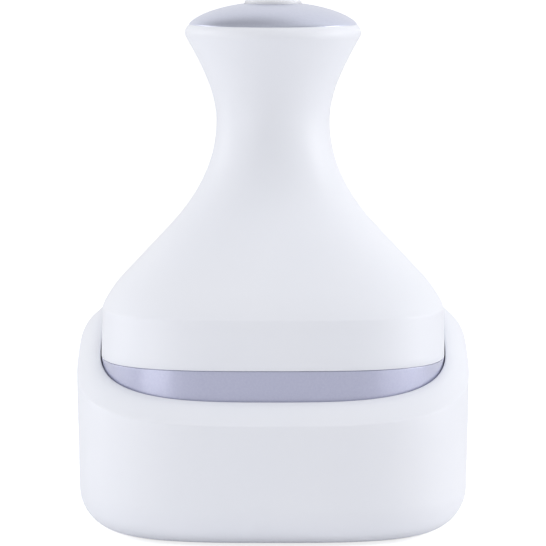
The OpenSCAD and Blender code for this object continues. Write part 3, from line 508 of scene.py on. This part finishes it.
def make_cap():
    """Domed cap with a plug in the handle's mouth, and a hole with a collar for the button. Its points lie
    closer together near the rim. Heights are above the seam."""
    hole_r = button_r + plug_slip
    hole_round_w, hole_round_h = 0.35, 0.4
    hole_lip_w, hole_lip_h = 0.1, 0.12
    collar_t = 1.4
    collar_low = 3.0
    dome_t = 2.2
    dome_reach = plug_r + 0.6
    roof_low = 0.4
    plug_t = 1.8
    plug_low = -4
    steps, under_steps = 40, 10
    collar_r = hole_r + collar_t
    rim = dome_at(hole_r)
    radii = [cap_a - (cap_a - hole_r - hole_round_w) * (k / steps) ** 2 for k in range(steps + 1)]
    under_radii = [collar_r + (plug_r - plug_t - collar_r) * k / under_steps for k in range(under_steps + 1)]
    profile = joined(
        [(plug_r, plug_low), (plug_r, 0)],
        [(r, dome_at(r)) for r in radii],
        [(hole_r + hole_lip_w, rim - hole_lip_h), (hole_r, rim - hole_round_h), (hole_r, collar_low),
         (collar_r, collar_low)],
        [(r, max(roof_low, dome_at(r, dome_reach) - dome_t)) for r in under_radii],
        [(plug_r - plug_t, plug_low)],
    )
    cap = revolve("cap_dome", [(r, top_seam + z) for r, z in profile], steps=192, sharp=SHARP_RIM)
    place(cap, "handpiece", "cap_lavender", "top_cap")


def make_button():
    """Push button with a flange under the cap, a rounded edge and a low crown."""
    flange_z = top_seam + 1.7
    flange_t = 1.2
    flange_r = button_r + 1.1
    crown = 0.5
    edge = 1.1
    crown_r = 0.84 * button_r
    crown_h = 0.8 * crown
    crown_steps = 8
    side_top = button_top - crown - edge
    shares = [1 - k / crown_steps for k in range(1, crown_steps)]
    profile = joined(
        [(0, flange_z), (flange_r, flange_z), (flange_r, flange_z + flange_t),
         (button_r, flange_z + flange_t)],
        arc((button_r - edge, side_top), edge, 0, 80, steps=10),
        [(crown_r * share, button_top - crown_h * share ** 2) for share in shares],
        [(0, button_top)],
    )
    button = revolve("button_crown", profile, sharp=SHARP_RIM)
    place(button, "button", "button_plastic", "power_button")


# ---------- Silicone pads ----------

def finger_profile(root_r, length, low):
    """Finger that tapers to a round tip. The profile goes from the tip to the flared root, a little way into
    the pad."""
    tip_r = 0.62 * root_r
    flare_r = 1.3
    sunk = 0.6
    flare = [(root_r + flare_r * (1 - math.sin(math.radians(g))), -flare_r * (1 - math.cos(math.radians(g))))
             for g in range(0, 91, 15)]
    tip = [(tip_r * math.cos(math.radians(g)), -(length - tip_r) - tip_r * math.sin(math.radians(g)))
           for g in range(0, 90, 10)]
    line = [(0, sunk), (root_r + flare_r, sunk)] + flare + tip + [(0, -length)]
    return [(r, low + z) for r, z in line[::-1]]


def make_pads():
    """One pad with its fingers, remeshed so that the roots run into the pad, and set at the four heads."""
    pad_t = 5
    edge = pad_t / 2
    finger_r = 4
    middle_short = 2
    ring_in = 2.6
    ring_r = pad_r - finger_r - ring_in
    count = 6
    voxel = 0.42
    low = pad_high.z - pad_t
    length = low - pad_low.z
    profile = joined(
        [(0, low), (pad_r - edge, low)],
        arc((pad_r - edge, low + edge), edge, -90, 0, steps=8),
        [(pad_r, pad_high.z), (0, pad_high.z)],
    )
    disc = revolve("pad", profile)
    parts = [disc, revolve("finger", finger_profile(finger_r, length - middle_short, low), steps=48)]
    for k in range(count):
        g = math.radians(360 / count * k)
        centre = (ring_r * math.cos(g), ring_r * math.sin(g))
        parts.append(revolve("finger", finger_profile(finger_r, length, low), centre, steps=48))
    with bpy.context.temp_override(active_object=disc, selected_editable_objects=parts):
        bpy.ops.object.join()
    remesh = disc.modifiers.new("remesh", "REMESH")
    remesh.mode = "VOXEL"
    remesh.voxel_size = voxel * MM
    smooth = disc.modifiers.new("smooth", "SMOOTH")
    smooth.factor = 0.5
    smooth.iterations = 3
    apply_modifiers(disc)
    disc.data.polygons.foreach_set("use_smooth", [True] * len(disc.data.polygons))
    for k, (suffix, x, y) in enumerate([("fl", -1, -1), ("fr", 1, -1), ("rl", -1, 1), ("rr", 1, 1)]):
        pad = disc if k == 0 else bpy.data.objects.new("pad", disc.data)
        if k:
            bpy.context.scene.collection.objects.link(pad)
        pad.name = "pad_" + suffix
        pad.location = (x * head_c * MM, y * head_c * MM, 0)
        place(pad, "spindle_" + suffix, "silicone", "massage_pad_" + suffix)


# ---------- Stand ----------

def stand_outside():
    """Stations up the stand's outer wall and over its lip, to the mouth that holds the handpiece."""
    foot_top = foot_h + foot_round
    lean = 0.9
    bulge = 0.1
    wall_drop = 8
    crown = 0.5
    lip_round = 0.8
    lip_low = 0.3
    mouth_a = skirt_a + 0.25
    front_gap = 0.35
    throat_drop = 2.2
    foot = [(a, z, skirt_power, 0) for a, z in arc((cover_a, foot_top), foot_round, -90, 0, steps=24)]
    wall = straight((low_a, foot_top, skirt_power, 0),
                    (stand_a - bulge, lip_mid - wall_drop, skirt_power, tilt * lean), steps=10)
    lip = arc((stand_a - lip_round, lip_mid - lip_low), lip_round, 0, 50, steps=6)
    lip += [(stand_a - lip_w * across, lip_mid + lip_drop * up + crown)
            for across, up in ((0.35, 0.41), (0.62, 0.72))]
    mouth = [(mouth_a + out, rim_mid - down)
             for out, down in ((0.65, 0), (0.2, 0.1), (0.05, 0.25), (0, 0.5), (0, 1.5))]
    throat = (rim_a, rim_mid - throat_drop, skirt_power, tilt)
    return (foot + wall + [(a, z, skirt_power, tilt) for a, z in lip]
            + [(a, z, skirt_power, tilt, front_gap) for a, z in mouth] + [throat])


def stand_inside():
    """Stations down the stand's inner wall: the ledge that carries the tray, the wall, the foot's inner
    rounding and the ledge over the base cover."""
    tray_flange = 1.8
    hang_in = 2.6
    hang_t = 1.8
    skin_t = 2.2
    cover_in = 2
    plate_t = 1.8
    cover_ledge = 3.2
    hang_z = ledge_z - tray_flange
    in_r = foot_round - stand_wall
    in_turn = math.degrees(math.acos((foot_round - cover_ledge) / in_r))
    upright = [(rim_a, hang_z), (rim_a - hang_in, hang_z), (rim_a - hang_in, hang_z - hang_t),
               (rim_a + skin_t, hang_z - hang_t)]
    tilted = [(rim_a + skin_t, lip_mid - stand_wall * 1.3), (stand_a - stand_wall, lip_mid - stand_wall * 2)]
    foot = arc((cover_a, foot_h + foot_round), in_r, 0, in_turn - 90, steps=12)
    foot += [(cover_a - cover_in, foot_h + cover_ledge), (cover_a - cover_in, foot_h + plate_t),
             (cover_a, foot_h + plate_t)]
    return ([(a, z, skirt_power, 0) for a, z in upright] + [(a, z, skirt_power, tilt) for a, z in tilted]
            + [(a, z, skirt_power, 0) for a, z in foot])


def make_stand():
    """Stand's housing, drilled for the inlet at the back."""
    stand = loft("stand_shell", stand_outside() + stand_inside())
    reach = 6
    drill_in = 2
    profile = [(0, -reach), (inlet_hole_r, -reach), (inlet_hole_r, reach), (0, reach)]
    drill = revolve("drill", profile, steps=96)
    drill.matrix_world = (Matrix.Translation((0, (stand_a - drill_in) * MM, inlet_z * MM))
                          @ Matrix.Rotation(math.radians(90), 4, "X"))
    bpy.context.view_layer.update()
    cut(stand, drill)
    place(stand, "stand", "stand_plastic", "stand_housing")


# ---------- Stage and lights ----------

def add_light(name, azimuth, height, distance, size, power, diffuse=True, gloss=True):
    """Softbox aimed at the object. Azimuth 0 is on the camera's side, and positive to the right. Without
    gloss the softbox isn't mirrored in the object, and without diffuse it is only mirrored."""
    aim = Vector((0, 0, 0.08))
    data = bpy.data.lights.new(name, "AREA")
    data.shape = "RECTANGLE"
    data.size, data.size_y = size
    data.energy = power
    light = bpy.data.objects.new(name, data)
    bpy.context.scene.collection.objects.link(light)
    a = math.radians(azimuth)
    spot = Vector((distance * math.sin(a), -distance * math.cos(a), height))
    light.location = spot
    light.rotation_mode = "QUATERNION"
    light.rotation_quaternion = (aim - spot).to_track_quat("-Z", "Y")
    light.visible_camera = False
    light.visible_diffuse = diffuse
    light.visible_glossy = gloss


def feed(tree, socket, value):
    """Gives a socket a number, or links another socket to it."""
    if isinstance(value, float):
        socket.default_value = value
    else:
        tree.links.new(value, socket)


def add_math(tree, operation, *values):
    """Result of a math node. Each value is a number or a socket."""
    node = tree.nodes.new("ShaderNodeMath")
    node.operation = operation
    for socket, value in zip(node.inputs, values):
        feed(tree, socket, value)
    return node.outputs["Value"]


def add_blend(tree, factor, first, second):
    """Number between first and second, each a number or a socket."""
    node = tree.nodes.new("ShaderNodeMix")
    tree.links.new(factor, node.inputs["Factor"])
    feed(tree, node.inputs["A"], first)
    feed(tree, node.inputs["B"], second)
    return node.outputs["Result"]


def add_world(ambient, front, ceiling):
    """Pale surroundings. The camera sees them as white, and matt surfaces are lit evenly by them. Reflections
    see them as white behind the object, and darker in front of it and overhead, less so to the right."""
    lean_right = -0.5
    ceiling_start, ceiling_end = 0.72, 1.0
    front_end, back_start = -0.35, 0.25
    world = bpy.data.worlds.new("studio")
    bpy.context.scene.world = world
    world.use_nodes = True
    tree = world.node_tree
    background = tree.nodes["Background"]
    background.inputs["Color"].default_value = (1, 1, 1, 1)
    path = tree.nodes.new("ShaderNodeLightPath").outputs
    seen = add_math(tree, "MAXIMUM", path["Is Camera Ray"], path["Is Transmission Ray"])
    direction = tree.nodes.new("ShaderNodeTexCoord")
    split = tree.nodes.new("ShaderNodeSeparateXYZ")
    tree.links.new(direction.outputs["Generated"], split.inputs["Vector"])
    steep = add_math(tree, "MULTIPLY_ADD", split.outputs["X"], lean_right, split.outputs["Z"])
    sky = add_blend(tree, add_range(tree, steep, ceiling_start, ceiling_end), 1.0, ceiling)
    studio = add_blend(tree, add_range(tree, split.outputs["Y"], front_end, back_start), front, sky)
    reflected = add_blend(tree, path["Is Glossy Ray"], ambient, studio)
    tree.links.new(add_blend(tree, seen, reflected, 1.0), background.inputs["Strength"])


def add_floor():
    """Pale floor that keeps the object's shadow, and is seen from above only. It glows a little, and more for
    the camera, so that it looks nearly white."""
    half = 6.0
    seen_glow, glow = 0.6, 0.10
    mesh = bpy.data.meshes.new("floor")
    corners = [(x * half, y * half, 0) for x, y in ((-1, -1), (1, -1), (1, 1), (-1, 1))]
    mesh.from_pydata(corners, [], [(0, 1, 2, 3)])
    floor = bpy.data.objects.new("floor", mesh)
    bpy.context.scene.collection.objects.link(floor)
    material = bpy.data.materials.new("floor")
    material.use_nodes = True
    tree = material.node_tree
    tree.nodes.clear()
    output = tree.nodes.new("ShaderNodeOutputMaterial")
    diffuse = tree.nodes.new("ShaderNodeBsdfDiffuse")
    diffuse.inputs["Color"].default_value = (0.84, 0.84, 0.85, 1)
    emission = tree.nodes.new("ShaderNodeEmission")
    path = tree.nodes.new("ShaderNodeLightPath")
    amount = add_math(tree, "MULTIPLY_ADD", path.outputs["Is Camera Ray"], seen_glow, glow)
    tree.links.new(amount, emission.inputs["Strength"])
    lit = tree.nodes.new("ShaderNodeAddShader")
    tree.links.new(diffuse.outputs[0], lit.inputs[0])
    tree.links.new(emission.outputs[0], lit.inputs[1])
    clear = tree.nodes.new("ShaderNodeBsdfTransparent")
    side = tree.nodes.new("ShaderNodeNewGeometry")
    mix = tree.nodes.new("ShaderNodeMixShader")
    tree.links.new(side.outputs["Backfacing"], mix.inputs["Fac"])
    tree.links.new(lit.outputs[0], mix.inputs[1])
    tree.links.new(clear.outputs[0], mix.inputs[2])
    tree.links.new(mix.outputs[0], output.inputs["Surface"])
    mesh.materials.append(material)


def paint_cad_nodes():
    """Every CAD node gets the material of its slot in the record."""
    slots = {row["node"]: row["material_slot"] for row in frame["record"]["subparts"]}
    for name, obj in frame["nodes"].items():
        paint(obj, slots[name])


add_camera()
paint_cad_nodes()
make_housing()
make_band()
make_cap()
make_button()
make_pads()
make_stand()

add_floor()
add_world(ambient=0.55, front=0.36, ceiling=0.24)
add_light("left_softbox", -104, 0.30, 1.1, (0.6, 0.8), 2.65)
add_light("right_softbox", 90, 0.30, 1.1, (0.6, 0.8), 4.8)
add_light("fill_softbox", -54, 0.06, 0.45, (0.25, 0.25), 0.38)
add_light("glint_softbox", 58, 0.06, 0.45, (0.25, 0.25), 0.19, diffuse=False)
add_light("top_softbox", 20, 1.2, 0.35, (0.8, 0.8), 3.8, gloss=False)
bpy.context.scene.view_settings.view_transform = "Standard"
